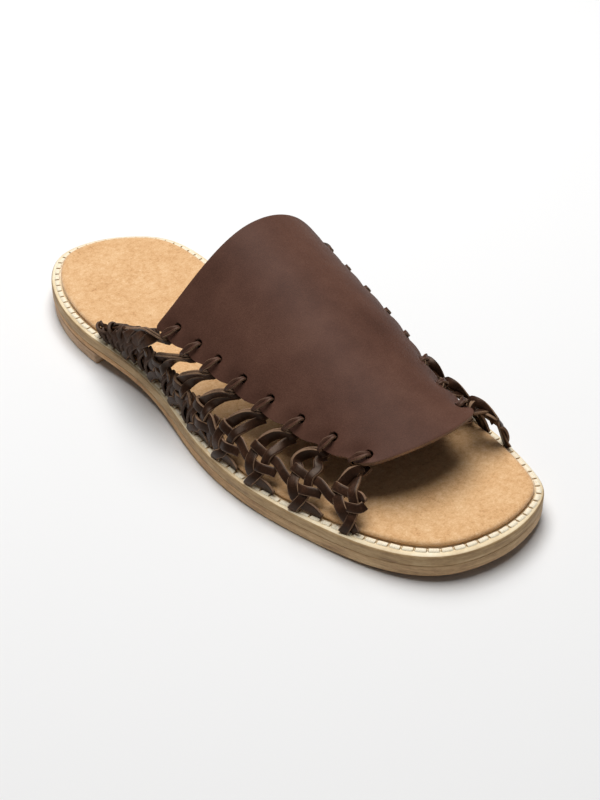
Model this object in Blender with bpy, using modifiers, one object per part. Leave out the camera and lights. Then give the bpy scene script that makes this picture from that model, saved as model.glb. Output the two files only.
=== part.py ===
"""Slide sandal for a right foot: a leather vamp laced at both sides to woven thongs on a flat leather sole.

Lengths in the tables are millimetres, measured on the shoe: "along" runs from the heel end to the toe,
"lateral" from the foot's long axis to the outer side (minus is medial), and height from the floor.
In the scene the toe points to -Y, the lateral side to -X and +Z is up, in metres.
"""

import math

import bmesh
import bpy
import numpy as np

MM = 0.001

# ---------------------------------------------------------------- driving dimensions
LENGTH = 265.3  # outsole, heel end to toe end
AXIS_SHIFT = 0.64  # from the tip-to-tip axis of the tables to the middle of the shoe
GAP = 0.3  # between pieces that meet

HEEL_END = 66.0  # along, front face of the heel block
HEEL_HEIGHT = 5.5
OUTSOLE_WAIST, OUTSOLE_FORE = 3.0, 4.8  # outsole thickness
MIDSOLE = 4.4
ARCH_END = 150.0  # along, where the outsole comes down to the floor
TOE_SPRING, SPRING_START = 3.6, 196.0
EDGE_ROUND = 0.6
INSOLE, INSOLE_ROUND = 2.0, 1.1
MARGIN_HEEL, MARGIN_TOE_LATERAL, MARGIN_TOE_MEDIAL = 4.4, 5.3, 3.8  # insole edge to sole edge

# The sole's outline. One row a station.
#             along  lateral medial
SOLE_ROWS = ((2.5, 12.5, 11.5),
             (9.0, 20.5, 23.0),
             (20.0, 28.2, 33.2),
             (38.0, 35.2, 37.2),
             (62.0, 38.6, 35.2),
             (88.0, 37.6, 31.4),
             (112.0, 39.4, 29.2),
             (136.0, 45.0, 33.2),
             (160.0, 49.2, 41.0),
             (186.0, 49.0, 46.4),
             (210.0, 45.0, 46.2),
             (230.0, 40.2, 42.4),
             (246.0, 33.4, 37.0),
             (256.5, 24.8, 30.4),
             (262.6, 13.6, 18.8))
HEEL_TIP_LATERAL, TOE_TIP_LATERAL = 2.5, -3.5

# The vamp, from its back edge (0) to its front edge (1). "side" columns are at its two cut edges,
# "crown" is midway between them, and "flank" is FLANK of the way from the crown to an edge.
FLANK = 0.62
VAMP = 1.9  # wall thickness
#             place  along:                lateral:      height:
#                    side  crown  side     side   side   side  flank crown flank side
#                    lat.         med.     lat.   med.   lat.  lat.        med.  med.
VAMP_ROWS = ((0.00, 111.0, 119.0, 111.5, 38.0, -46.5, 41.0, 59.5, 75.3, 66.2, 48.0),
             (0.27, 140.5, 143.0, 146.0, 35.4, -43.6, 35.4, 51.9, 65.5, 56.3, 39.0),
             (0.53, 168.5, 171.5, 173.5, 32.4, -39.4, 30.3, 44.3, 54.2, 47.4, 33.0),
             (0.80, 198.0, 201.5, 202.0, 27.6, -31.2, 27.2, 36.5, 42.1, 37.8, 28.4),
             (1.00, 216.5, 227.0, 223.5, 24.0, -26.5, 28.4, 31.2, 33.8, 33.4, 31.0))

HOLES = 8  # on a side
HOLE_DIAMETER = 3.5
HOLE_INSET = 6.0  # hole centre to cut edge
# The woven sides. One row a lacing hole: where the hole is along the vamp's edge, where the foot of
# its unit meets the sole, and how far the weave leans outward above its foot.
#                hole     foot     lean
LATERAL_ROWS = ((119.0, 92.0, 1.0),
                (130.8, 111.0, 2.0),
                (141.8, 130.0, 3.4),
                (155.2, 149.0, 4.4),
                (169.2, 169.0, 4.6),
                (183.9, 188.0, 4.2),
                (198.4, 206.5, 3.2),
                (212.0, 225.0, 2.0))
MEDIAL_ROWS = ((121.9, 100.0, 0.5),
               (133.9, 118.0, 1.2),
               (147.2, 136.0, 2.0),
               (161.0, 154.0, 2.4),
               (174.4, 172.0, 2.4),
               (188.5, 190.0, 1.6),
               (202.3, 208.0, 0.6),
               (216.4, 226.0, 0.0))
TAIL_UNITS = 1.35  # the closed tail of the weave, in units behind the first hole
TAIL_HEIGHT = 6.0
CORNER_UNIT = 0.4  # where the weave's top leaves the vamp's back corner and runs down to the tail's end
REACH, RISE, SPAN = 5.0, 10.0, 31.0  # pull of the vamp's edge and of the foot, for a weave SPAN high
PLAIT = 1.5  # wall thickness of the weave
STRIP = 3.2  # width of a thong
UNIT_MM, DEPTH_MM = 17.0, 31.0  # mean size of a unit of the weave, to give strips an even width
FOOT_INSET = 1.35  # centre of the weave's foot to the insole edge
LOOP_WIDTH, LOOP_THICKNESS = 2.3, 1.1


# ---------------------------------------------------------------- curves
def spline(xs, ys, x):
    """A smooth curve through (xs, ys), as a natural cubic, at x. Beyond the ends it goes straight on."""
    xs, ys, x = np.asarray(xs, float), np.asarray(ys, float), np.asarray(x, float)
    n, h = len(xs), np.diff(xs)
    a, r = np.eye(n), np.zeros(n)
    for i in range(1, n - 1):
        a[i, i - 1:i + 2] = h[i - 1], 2 * (h[i - 1] + h[i]), h[i]
        r[i] = 6 * ((ys[i + 1] - ys[i]) / h[i] - (ys[i] - ys[i - 1]) / h[i - 1])
    m = np.linalg.solve(a, r)
    i = np.clip(np.searchsorted(xs, x) - 1, 0, n - 2)
    inside = np.clip(x, xs[0], xs[-1])
    p, q, w = inside - xs[i], xs[i + 1] - inside, h[i]
    y = (m[i] * q**3 + m[i + 1] * p**3) / (6 * w) + (ys[i] / w - m[i] * w / 6) * q + (ys[i + 1] / w - m[i + 1] * w / 6) * p
    slope0 = (ys[1] - ys[0]) / h[0] - m[1] * h[0] / 6
    slope1 = (ys[-1] - ys[-2]) / h[-1] + m[-2] * h[-1] / 6
    return y + np.minimum(x - xs[0], 0) * slope0 + np.maximum(x - xs[-1], 0) * slope1


def smooth(x, start, end):
    t = np.clip((np.asarray(x, float) - start) / (end - start), 0, 1)
    return t * t * (3 - 2 * t)


def closed_curve(points, count):
    """count points on a closed curve through points, spaced by the root of the chord lengths."""
    p = np.asarray(points, float)
    n = len(p)
    knots = np.concatenate([[0], np.cumsum(np.linalg.norm(np.roll(p, -1, 0) - p, axis=1) ** 0.5)])
    wide = np.concatenate([knots[:-1] - knots[-1], knots[:-1], knots[:-1] + knots[-1], [2 * knots[-1]]])
    ring = np.concatenate([p, p, p, p[:1]])
    at = np.linspace(0, knots[-1], count, endpoint=False)
    return np.stack([spline(wide, ring[:, c], at) for c in (0, 1)], axis=1), n


def sole_outline(count=720):
    """Dense points (lateral, along) round the sole: from the heel's end by the lateral side to the toe and back."""
    side = [(lat, s) for s, lat, _ in SOLE_ROWS]
    back = [(-med, s) for s, _, med in reversed(SOLE_ROWS)]
    points = [(HEEL_TIP_LATERAL, 0.0)] + side + [(TOE_TIP_LATERAL, LENGTH)] + back
    return closed_curve(points, count)[0]


OUTLINE = sole_outline()


def inward(points, inset):
    """The closed outline moved inward by inset, a number or one number a point."""
    run = np.roll(points, -1, 0) - np.roll(points, 1, 0)
    run /= np.linalg.norm(run, axis=1)[:, None]
    normal = np.stack([-run[:, 1], run[:, 0]], axis=1)
    return points + normal * np.reshape(inset, (-1, 1))


def half_widths(points):
    """The outline split at its two ends, as (along, lateral) of the lateral and of the medial side."""
    first, last = points[:, 1].argmin(), points[:, 1].argmax()
    ring = np.roll(points, -first, 0)
    last = (last - first) % len(points)
    return ring[:last + 1], np.concatenate([ring[last:], ring[:1]])[::-1]


def at_along(side, along):
    return np.interp(along, side[:, 1], side[:, 0])


# ---------------------------------------------------------------- heights of the sole
def under(s):
    """Underside of the outsole: on the heel block, over the arch, flat on the floor, then the toe spring."""
    spring = np.maximum((s - SPRING_START) / (LENGTH - SPRING_START), 0)
    return HEEL_HEIGHT * (1 - smooth(s, HEEL_END, ARCH_END)) + TOE_SPRING * spring**2


def outsole_top(s):
    return under(s) + OUTSOLE_WAIST + (OUTSOLE_FORE - OUTSOLE_WAIST) * smooth(s, 95, ARCH_END)


def midsole_top(s):
    return outsole_top(s) + GAP + MIDSOLE


def insole_top(s):
    return midsole_top(s) + GAP + INSOLE


def margin(points):
    """Width of the welt outside the insole at each point of the outline."""
    toe = smooth(points[:, 1], 190, 250)
    side = smooth(points[:, 0], -30, 10)
    front = MARGIN_TOE_MEDIAL + (MARGIN_TOE_LATERAL - MARGIN_TOE_MEDIAL) * side
    return MARGIN_HEEL + (front - MARGIN_HEEL) * toe


# ---------------------------------------------------------------- vamp and weave surfaces
def vamp_at(place, across):
    """Points (lateral, along, height) of the vamp's middle surface. across: -1 medial edge, 1 lateral edge."""
    place, across = np.broadcast_arrays(np.asarray(place, float), np.asarray(across, float))
    rows = np.array(VAMP_ROWS)
    (al, ac, am, xl, xm, zl, zfl, zc, zfm, zm) = (spline(rows[:, 0], rows[:, c], place) for c in range(1, 11))
    lateral = (xl + xm) / 2 + (xl - xm) / 2 * across
    along = ac + (al - am) / 2 * across + ((al + am) / 2 - ac) * across**2
    edge = (zl + zm) / 2 + (zl - zm) / 2 * across
    w, f = np.abs(across), FLANK
    arch = np.zeros(across.shape)
    for sign, flank, side in ((1, zfl, zl), (-1, zfm, zm)):
        line = (zl + zm) / 2 + (side - (zl + zm) / 2) * f
        rise = zc - (zl + zm) / 2
        share = (flank - line) / np.where(np.abs(rise) < 1e-6, 1, rise)
        # 1 - a w^2 - (1 - a) w^4 is 1 on the crown, 0 at the edge and share on the flank
        a = (1 - share - f**4) / (f**2 - f**4)
        here = rise * (1 - a * w**2 - (1 - a) * w**4)
        arch = np.where(sign * across >= 0, here, arch)
    return np.stack([lateral, along, edge + arch], axis=-1)


def normal_of(surface, u, v, du=1e-3, dv=1e-3):
    """Unit normal of surface(u, v), turned outward (up, or to the shoe's own side)."""
    a = surface(u + du, v) - surface(u - du, v)
    b = surface(u, v + dv) - surface(u, v - dv)
    n = np.cross(a, b)
    n /= np.linalg.norm(n, axis=-1)[..., None]
    return np.where(n[..., 2:3] < 0, -n, n)


def edge_place(sign, along):
    """Place (0 to 1) at which the vamp's cut edge is at this along."""
    t = np.linspace(-0.1, 1.1, 241)
    return np.interp(along, vamp_at(t, sign)[:, 1], t)


def across_at(sign, place, inset):
    """The across value that is inset millimetres from the cut edge, measured on the surface."""
    w = np.linspace(1, 0.5, 101)
    p = vamp_at(place, sign * w)
    run = np.concatenate([[0], np.cumsum(np.linalg.norm(np.diff(p, axis=0), axis=1))])
    return sign * np.interp(inset, run, w)


class Weave:
    """The surface between one cut edge of the vamp and the sole. unit: 1 to 8 at the holes; depth: 0 at the
    vamp, 1 at the sole."""

    def __init__(self, sign, rows):
        self.sign = sign
        self.units = np.arange(1, HOLES + 1)
        self.hole, self.foot, self.lean = np.array(rows).T
        self.tail = 1 - TAIL_UNITS
        sides = half_widths(inward(OUTLINE, margin(OUTLINE) - FOOT_INSET))
        self.line = sides[0] if sign > 0 else sides[1]

    def foot_at(self, unit):
        s = spline(self.units, self.foot, unit)
        return np.stack([at_along(self.line, s), s, midsole_top(s) + GAP + 0.4], axis=-1)

    def top_at(self, unit):
        """Just outside the cut edge, and the way the vamp points there. Behind the vamp's corner it runs
        down to the tail's end."""
        unit = np.asarray(unit, float)
        inner = np.maximum(unit, CORNER_UNIT)
        place = edge_place(self.sign, spline(self.units, self.hole, inner))
        edge = vamp_at(place, self.sign)
        out = edge - vamp_at(place, self.sign * 0.97)
        out /= np.linalg.norm(out, axis=-1)[..., None]
        top = edge + out * (GAP + 0.5)
        end = self.foot_at(np.full(unit.shape, self.tail)) + (0, 0, TAIL_HEIGHT)
        share = np.clip((CORNER_UNIT - unit) / (CORNER_UNIT - self.tail), 0, 1)[..., None]
        return top + (end - top) * share, out

    def __call__(self, unit, depth):
        unit, t = np.broadcast_arrays(np.asarray(unit, float), np.asarray(depth, float))
        (top, out), foot = self.top_at(unit), self.foot_at(unit)
        size = np.linalg.norm(top - foot, axis=-1)[..., None] / SPAN
        lean = spline(self.units, self.lean, np.maximum(unit, 1)) * self.sign
        up = np.stack([lean, 0 * lean, 0 * lean + RISE], axis=-1)
        t = t[..., None]
        return (top * (1 - t)**3 + (top + out * REACH * size) * 3 * t * (1 - t)**2
                + (foot + up * size) * 3 * t**2 * (1 - t) + foot * t**3)


# ---------------------------------------------------------------- building
def clear():
    for old in list(bpy.data.objects):
        bpy.data.objects.remove(old, do_unlink=True)
    for old in list(bpy.data.collections):
        bpy.data.collections.remove(old)


def to_scene(points):
    """Shoe millimetres (lateral, along, height) to the scene's metres."""
    p = np.asarray(points, float)
    return np.stack([AXIS_SHIFT - p[..., 0], LENGTH / 2 - p[..., 1], p[..., 2]], axis=-1) * MM


def add(name, vertices, faces, collection, colour=None, smooth_shade=True):
    mesh = bpy.data.meshes.new(name)
    mesh.from_pydata([tuple(v) for v in to_scene(vertices)], [], faces)
    b = bmesh.new()
    b.from_mesh(mesh)
    bmesh.ops.recalc_face_normals(b, faces=b.faces)
    b.to_mesh(mesh)
    b.free()
    mesh.polygons.foreach_set("use_smooth", [smooth_shade] * len(mesh.polygons))
    obj = bpy.data.objects.new(name, mesh)
    collection.objects.link(obj)
    if colour:
        material = bpy.data.materials.new(name)
        material.use_nodes = True
        shader = material.node_tree.nodes["Principled BSDF"]
        shader.inputs["Base Color"].default_value = (*colour, 1)
        shader.inputs["Roughness"].default_value = 0.6
        mesh.materials.append(material)
    return obj


def stations(start, end, count, both_round):
    """Stations along the sole, close together at a rounded end."""
    turn = np.pi if both_round else np.pi / 2
    share = (1 - np.cos(np.linspace(0, turn, count + 1))) / (1 - np.cos(turn))
    return start + (end - start) * share


def slab(name, rings, count, collection, colour, end=LENGTH):
    """A layer of the sole. rings: (inset, height function) from its bottom to its top; inset is a number
    or a function of the outline's points."""
    points, n = [], None
    for inset, height in rings:
        ring = inward(OUTLINE, inset(OUTLINE) if callable(inset) else inset)
        lateral, medial = half_widths(ring)
        tip = end >= LENGTH
        first, last = lateral[0, 1], lateral[-1, 1] if tip else end
        s = stations(first, last, count, tip)
        out = [(at_along(lateral, v), v) for v in s]
        back = [(at_along(medial, v), v) for v in s[::-1]][1 if tip else 0:-1]
        loop = np.array(out + back)
        n = len(loop)
        points.append(np.column_stack([loop, height(loop[:, 1])]))
    vertices = np.concatenate(points)
    faces = []
    for r in range(len(rings) - 1):
        for i in range(n):
            j = (i + 1) % n
            faces.append((r * n + i, r * n + j, (r + 1) * n + j, (r + 1) * n + i))
    for r in (0, len(rings) - 1):
        for i in range(count):
            a, b = i, i + 1
            c, d = (n - b) % n, (n - a) % n
            face = [a, b, c, d] if b != c else [a, b, d]
            if a == d:
                face = [a, b, c]
            faces.append(tuple(r * n + v for v in face))
    return add(name, vertices, faces, collection, colour)


def sole(collection):
    r = EDGE_ROUND
    slab("outsole", [(r, under), (0, lambda s: under(s) + r), (0.1, outsole_top)], 44, collection, (0.22, 0.12, 0.065))
    low = lambda s: outsole_top(s) + GAP
    slab("midsole", [(0.1, low), (0, lambda s: midsole_top(s) - r), (r, midsole_top)], 44, collection, (0.62, 0.46, 0.29))
    k = INSOLE_ROUND
    bottom = lambda s: midsole_top(s) + GAP
    slab("insole",
         [(lambda p: margin(p) + 0.3, bottom), (margin, lambda s: bottom(s) + 0.4),
          (lambda p: margin(p) + 0.25 * k, lambda s: insole_top(s) - 0.5 * k),
          (lambda p: margin(p) + k, insole_top)],
         44, collection, (0.75, 0.52, 0.32))
    slab("heel_lift", [(r + 0.3, lambda s: 0 * s), (0.4, lambda s: 0 * s + r), (0.2, lambda s: 0 * s + HEEL_HEIGHT - GAP)],
         20, collection, (0.26, 0.155, 0.09), end=HEEL_END)


def grid(surface, us, vs):
    """Vertices and faces of surface over the values us by vs."""
    u, v = np.meshgrid(us, vs, indexing="ij")
    points = surface(u, v).reshape(-1, 3)
    n = len(vs)
    faces = [(i * n + j, (i + 1) * n + j, (i + 1) * n + j + 1, i * n + j + 1)
             for i in range(len(us) - 1) for j in range(n - 1)]
    return points, faces


def thicken(obj, thickness):
    wall = obj.modifiers.new("wall", "SOLIDIFY")
    wall.thickness = thickness * MM
    wall.offset = 0
    wall.use_even_offset = True
    return obj


def hole_frames(weave):
    """Centre, outward normal, direction to the cut edge and direction along it, at each lacing hole."""
    frames = []
    for along in weave.hole:
        place = float(edge_place(weave.sign, along))
        across = float(across_at(weave.sign, place, HOLE_INSET))
        centre = vamp_at(place, across)
        to_edge = vamp_at(place, weave.sign * 1.0) - centre
        to_edge /= np.linalg.norm(to_edge)
        normal = normal_of(vamp_at, place, across)
        normal -= to_edge * np.dot(to_edge, normal)
        normal /= np.linalg.norm(normal)
        frames.append((centre, normal, to_edge, np.cross(normal, to_edge)))
    return frames


def prism(path, width, thickness, side):
    """A closed strap round a closed path, rectangular across: width along side, thickness within the path's plane."""
    n = len(path)
    run = np.roll(path, -1, 0) - np.roll(path, 1, 0)
    run /= np.linalg.norm(run, axis=1)[:, None]
    out = np.cross(run, side)
    vertices = []
    for p, o in zip(path, out):
        for a, b in ((-1, -1), (1, -1), (1, 1), (-1, 1)):
            vertices.append(p + side * (a * width / 2) + o * (b * thickness / 2))
    faces = [(i * 4 + k, i * 4 + (k + 1) % 4, ((i + 1) % n) * 4 + (k + 1) % 4, ((i + 1) % n) * 4 + k)
             for i in range(n) for k in range(4)]
    return vertices, faces


def loops(weave):
    """A strap through each hole and round the vamp's cut edge."""
    vertices, faces = [], []
    half = VAMP / 2 + GAP + LOOP_THICKNESS / 2 + 0.3
    reach = HOLE_INSET + GAP + LOOP_THICKNESS / 2 + 0.9
    corner = 1.0
    for centre, normal, to_edge, side in hole_frames(weave):
        box = [(0, -half + corner), (0, half - corner), (corner, half), (reach - corner, half),
               (reach, half - corner), (reach, -half + corner), (reach - corner, -half), (corner, -half)]
        path = np.array([centre + to_edge * a + normal * b for a, b in box])
        v, f = prism(path, LOOP_WIDTH, LOOP_THICKNESS, side)
        faces += [tuple(i + len(vertices) for i in face) for face in f]
        vertices += v
    return vertices, faces


def vamp(collection, cutters, sides):
    us = np.linspace(0, 1, 17)
    vs = np.sin(np.linspace(-1, 1, 23) * np.pi / 2 * 0.86) / math.sin(np.pi / 2 * 0.86)
    points, faces = grid(vamp_at, us, vs)
    obj = thicken(add("vamp", points, faces, collection, (0.10, 0.042, 0.028)), VAMP)
    vertices, faces = [], []
    for weave in sides:
        for centre, normal, to_edge, side in hole_frames(weave):
            base = len(vertices)
            for end in (-3, 3):
                for i in range(10):
                    a = 2 * np.pi * i / 10
                    vertices.append(centre + normal * end
                                    + (to_edge * math.cos(a) + side * math.sin(a)) * HOLE_DIAMETER / 2)
            faces += [tuple(base + v for v in (i, (i + 1) % 10, 10 + (i + 1) % 10, 10 + i)) for i in range(10)]
            faces += [tuple(base + i for i in range(10)), tuple(base + 19 - i for i in range(10))]
    cutter = add("vamp_holes", vertices, faces, cutters, smooth_shade=False)
    cut = obj.modifiers.new("holes", "BOOLEAN")
    cut.operation, cut.solver, cut.object = "DIFFERENCE", "EXACT", cutter
    return obj


# ---------------------------------------------------------------- the woven lattice
def arc_middle(a, b, bend):
    """The middle of a strip from a to b that bends sideways by bend times its length."""
    return (a + b) / 2 + np.array([b[1] - a[1], a[0] - b[0]]) * bend


def lattice(strips, joints):
    """Flat strips meeting at joints, in millimetres of the unrolled weave.

    strips: (first, last, width, bend, pieces, shift); first and last name joints, and the strip starts shift
    beside the centre of its first one. joints: name to ((x, y), radius, bump). A joint of radius 0 is a
    strip's free end. Returns points (x, y, height), faces."""
    points, faces = [], []
    corners = {name: [] for name in joints}
    for first, last, width, bend, pieces, shift in strips:
        (a, ra, _), (b, rb, _) = joints[first], joints[last]
        a, b = np.array(a) + (shift, 0), np.array(b)
        m = arc_middle(a, b, bend)
        curve = lambda t: a * (1 - t)**2 + m * 2 * t * (1 - t) + b * t * t
        t = np.linspace(0, 1, 60)
        dense = np.array([curve(v) for v in t])
        t0 = t[np.linalg.norm(dense - a, axis=1).searchsorted(ra)] if ra else 0.0
        t1 = t[60 - np.linalg.norm(dense - b, axis=1)[::-1].searchsorted(rb) - 1] if rb else 1.0
        rows = []
        for i in range(pieces + 1):
            v = t0 + (t1 - t0) * i / pieces
            p, run = curve(v), curve(v + 1e-3) - curve(v - 1e-3)
            run /= np.linalg.norm(run)
            off = np.array([run[1], -run[0]]) * width / 2
            rows.append((len(points), len(points) + 1))
            points += [(*(p - off), 0.0), (*(p + off), 0.0)]
        faces += [(r[0], r[1], q[1], q[0]) for r, q in zip(rows, rows[1:])]
        corners[first].append(rows[0])
        corners[last].append(rows[-1][::-1])
    for name, (centre, radius, bump) in joints.items():
        if not radius:
            continue
        angle = lambda i: math.atan2(points[i][1] - centre[1], points[i][0] - centre[0])
        ends = sorted((pair for pair in corners[name]),
                      key=lambda pair: math.atan2(*(np.array(points[pair[0]][:2]) + points[pair[1]][:2]
                                                    - 2 * np.array(centre))[::-1]))
        ring = []
        for pair in ends:
            turn = (angle(pair[1]) - angle(pair[0]) + math.pi) % (2 * math.pi) - math.pi
            ring += pair if turn > 0 else pair[::-1]
        middle = len(points)
        points.append((*np.mean([points[i][:2] for i in ring], axis=0), bump))
        faces += [(middle, ring[i], ring[(i + 1) % len(ring)]) for i in range(len(ring))]
    return points, faces


KNOT_DEPTH = 0.51
ARC_BEND = -0.6  # the strips from the vamp swing back before they reach their knots
BAR = 4.2  # width between two knots
KNOT_BACK = 0.2  # how far a knot sits behind its hole, in units, at all but the front ones
LEG_SPREAD = 0.22
LEG_ROOT = 2.1


def weave_plan():
    """The strips of one side in (unit, depth), turned into millimetres of the unrolled weave."""
    size = np.array([UNIT_MM, DEPTH_MM])
    joints, strips = {}, []
    for k in range(1, HOLES + 1):
        back = KNOT_BACK * (1 - float(smooth(k, 6, 8)))
        joints[f"top{k}"] = (size * (k + 0.03, 0.0), 0, 0)
        joints[f"knot{k}"] = (size * (k - back, KNOT_DEPTH), 4.4, 1.0)
        joints[f"back{k}"] = (size * (k - LEG_SPREAD, 1.0), 0, 0)
        joints[f"front{k}"] = (size * (k + LEG_SPREAD, 1.0), 0, 0)
        strips.append((f"top{k}", f"knot{k}", STRIP, ARC_BEND, 6, 0))
        strips.append((f"knot{k}", f"front{k}", STRIP, -0.06, 3, LEG_ROOT))
        if k > 1:
            strips.append((f"knot{k}", f"back{k}", STRIP, 0.06, 3, -LEG_ROOT))
            strips.append((f"knot{k - 1}", f"knot{k}", BAR, 0.0, 2, 0))
    return lattice(strips, joints)


def plait(name, weave, collection, cutters):
    flat, faces = weave_plan()
    flat = np.array(flat)
    unit, depth = flat[:, 0] / UNIT_MM, np.clip(flat[:, 1] / DEPTH_MM, 0, 1)
    points = weave(unit, depth) + normal_of(weave, unit, depth) * flat[:, 2:3]
    obj = thicken(add(name, points, faces, collection, (0.045, 0.022, 0.016)), PLAIT)
    # the closed tail behind the first unit, a ridge for each of its strips
    us = np.linspace(weave.tail, 0.9, 19)
    vs = np.linspace(0.02, 1, 4)
    u, v = np.meshgrid(us, vs, indexing="ij")
    v = 1 - (1 - v) * (1 - 0.12 * smooth(u, 0.2, 0.8))
    ridge = np.where(np.arange(len(us)) % 2, 0.35, -0.35)[:, None] * np.ones(v.shape)
    surface = weave(u - 0.12 * (v - 0.5), v) + normal_of(weave, u, v) * ridge[..., None]
    n = len(vs)
    cells = [(i * n + j, (i + 1) * n + j, (i + 1) * n + j + 1, i * n + j + 1)
             for i in range(len(us) - 1) for j in range(n - 1)]
    tail = thicken(add(name + "_tail", surface.reshape(-1, 3), cells, cutters), PLAIT + 0.4)
    tail.modifiers["wall"].use_even_offset = False
    rings = add(name + "_loops", *loops(weave), cutters)
    for other in (tail, rings):
        join = obj.modifiers.new(other.name, "BOOLEAN")
        join.operation, join.solver, join.object = "UNION", "EXACT", other
    return obj


def main():
    clear()
    scene = bpy.context.scene
    shoe = bpy.data.collections.new("slide_sandal")
    cutters = bpy.data.collections.new("helpers")
    scene.collection.children.link(shoe)
    scene.collection.children.link(cutters)
    cutters.hide_render = True
    sides = Weave(1, LATERAL_ROWS), Weave(-1, MEDIAL_ROWS)
    sole(shoe)
    vamp(shoe, cutters, sides)
    plait("plait_lateral", sides[0], shoe, cutters)
    plait("plait_medial", sides[1], shoe, cutters)
    for helper in cutters.objects:
        helper.hide_render = True
        helper.display_type = "WIRE"


main()
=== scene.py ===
"""Looks of a right slide sandal: a dark leather vamp laced at both sides to woven thongs on a stitched sole.

The pieces are shaped in the shoe's own millimetres: "along" from the heel end to the toe, "lateral" from the
foot's long axis to the outer side (minus is medial), and height from the floor. The frame has the toe at -Y,
the lateral side at -X and +Z up, in metres.
"""

import math

import bmesh
import bpy
import numpy as np
from mathutils import Matrix, Vector, noise


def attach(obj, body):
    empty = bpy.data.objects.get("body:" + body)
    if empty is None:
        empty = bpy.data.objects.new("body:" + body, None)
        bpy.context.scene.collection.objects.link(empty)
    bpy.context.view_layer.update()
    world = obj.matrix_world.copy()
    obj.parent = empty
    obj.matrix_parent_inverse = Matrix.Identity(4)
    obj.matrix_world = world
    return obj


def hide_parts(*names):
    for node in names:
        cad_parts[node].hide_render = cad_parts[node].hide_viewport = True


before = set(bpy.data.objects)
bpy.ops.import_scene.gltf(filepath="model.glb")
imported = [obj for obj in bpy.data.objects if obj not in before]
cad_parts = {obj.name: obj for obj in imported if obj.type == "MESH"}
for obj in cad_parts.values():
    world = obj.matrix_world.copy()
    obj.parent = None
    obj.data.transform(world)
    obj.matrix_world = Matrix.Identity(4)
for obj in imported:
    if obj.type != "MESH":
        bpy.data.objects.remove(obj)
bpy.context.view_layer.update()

MM = 0.001

# ---- dimensions shared with the solids
LENGTH, AXIS_SHIFT, GAP = 265.3, 0.64, 0.3
HEEL_END, HEEL_HEIGHT = 66.0, 5.5
OUTSOLE_WAIST, OUTSOLE_FORE, MIDSOLE, INSOLE = 3.0, 4.8, 4.4, 2.0
SEAM = 0.12  # what is seen of the gap under the midsole
WAIST_END, ARCH_END = 95.0, 150.0
TOE_SPRING, SPRING_START = 3.6, 196.0
MARGIN_HEEL, MARGIN_TOE_LATERAL, MARGIN_TOE_MEDIAL = 4.4, 5.3, 3.8
MARGIN_ALONG, MARGIN_ACROSS = (190, 250), (-30, 10)  # where the welt's width changes
#    along  lateral medial
SOLE_ROWS = (
    (2.5, 12.5, 11.5),
    (9.0, 20.5, 23.0),
    (20.0, 28.2, 33.2),
    (38.0, 35.2, 37.2),
    (62.0, 38.6, 35.2),
    (88.0, 37.6, 31.4),
    (112.0, 39.4, 29.2),
    (136.0, 45.0, 33.2),
    (160.0, 49.2, 41.0),
    (186.0, 49.0, 46.4),
    (210.0, 45.0, 46.2),
    (230.0, 40.2, 42.4),
    (246.0, 33.4, 37.0),
    (256.5, 24.8, 30.4),
    (262.6, 13.6, 18.8))
HEEL_TIP_LATERAL, TOE_TIP_LATERAL = 2.5, -3.5
OUTLINE_POINTS = 1440

FLANK, VAMP = 0.62, 1.9
#    place  along:                lateral:      height:
#           side  crown  side     side   side   side  flank crown flank side
#           lat.         med.     lat.   med.   lat.  lat.        med.  med.
VAMP_ROWS = (
    (0.00, 111.0, 119.0, 111.5, 38.0, -46.5, 41.0, 59.5, 75.3, 66.2, 48.0),
    (0.27, 140.5, 143.0, 146.0, 35.4, -43.6, 35.4, 51.9, 65.5, 56.3, 39.0),
    (0.53, 168.5, 171.5, 173.5, 32.4, -39.4, 30.3, 44.3, 54.2, 47.4, 33.0),
    (0.80, 198.0, 201.5, 202.0, 27.6, -31.2, 27.2, 36.5, 42.1, 37.8, 28.4),
    (1.00, 216.5, 227.0, 223.5, 24.0, -26.5, 28.4, 31.2, 33.8, 33.4, 31.0))
HOLES, HOLE_DIAMETER, HOLE_INSET = 8, 3.5, 6.0
#    hole    foot   lean knot  depth
LATERAL_ROWS = (
    (119.0, 92.0, 1.0, 0.74, 0.69),
    (130.8, 111.0, 2.0, 1.68, 0.69),
    (141.8, 130.0, 3.4, 2.60, 0.68),
    (155.2, 149.0, 4.4, 3.56, 0.65),
    (169.2, 169.0, 4.6, 4.56, 0.61),
    (183.9, 188.0, 4.2, 5.60, 0.57),
    (198.4, 206.5, 3.2, 6.78, 0.56),
    (212.0, 225.0, 2.0, 7.97, 0.56))
MEDIAL_ROWS = (
    (121.9, 100.0, 0.5, 0.74, 0.68),
    (133.9, 118.0, 1.2, 1.68, 0.67),
    (147.2, 136.0, 2.0, 2.62, 0.66),
    (161.0, 154.0, 2.4, 3.60, 0.64),
    (174.4, 172.0, 2.4, 4.66, 0.62),
    (188.5, 190.0, 1.6, 5.74, 0.58),
    (202.3, 208.0, 0.6, 6.84, 0.50),
    (216.4, 226.0, 0.0, 8.05, 0.44))
TAIL_UNITS, TAIL_HEIGHT, CORNER_UNIT = 1.35, 6.0, 0.4
REACH, RISE, SPAN = 5.0, 10.0, 31.0
FOOT_INSET, FOOT_RISE, TOP_GAP = 1.35, 0.4, 0.5  # of the weave's foot, and of its top outside the cut edge
MEDIAL_SWELL, SWELL_UNITS = 1.5, (5, 7)  # how far the medial side's front knots stand out, and from where


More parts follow.
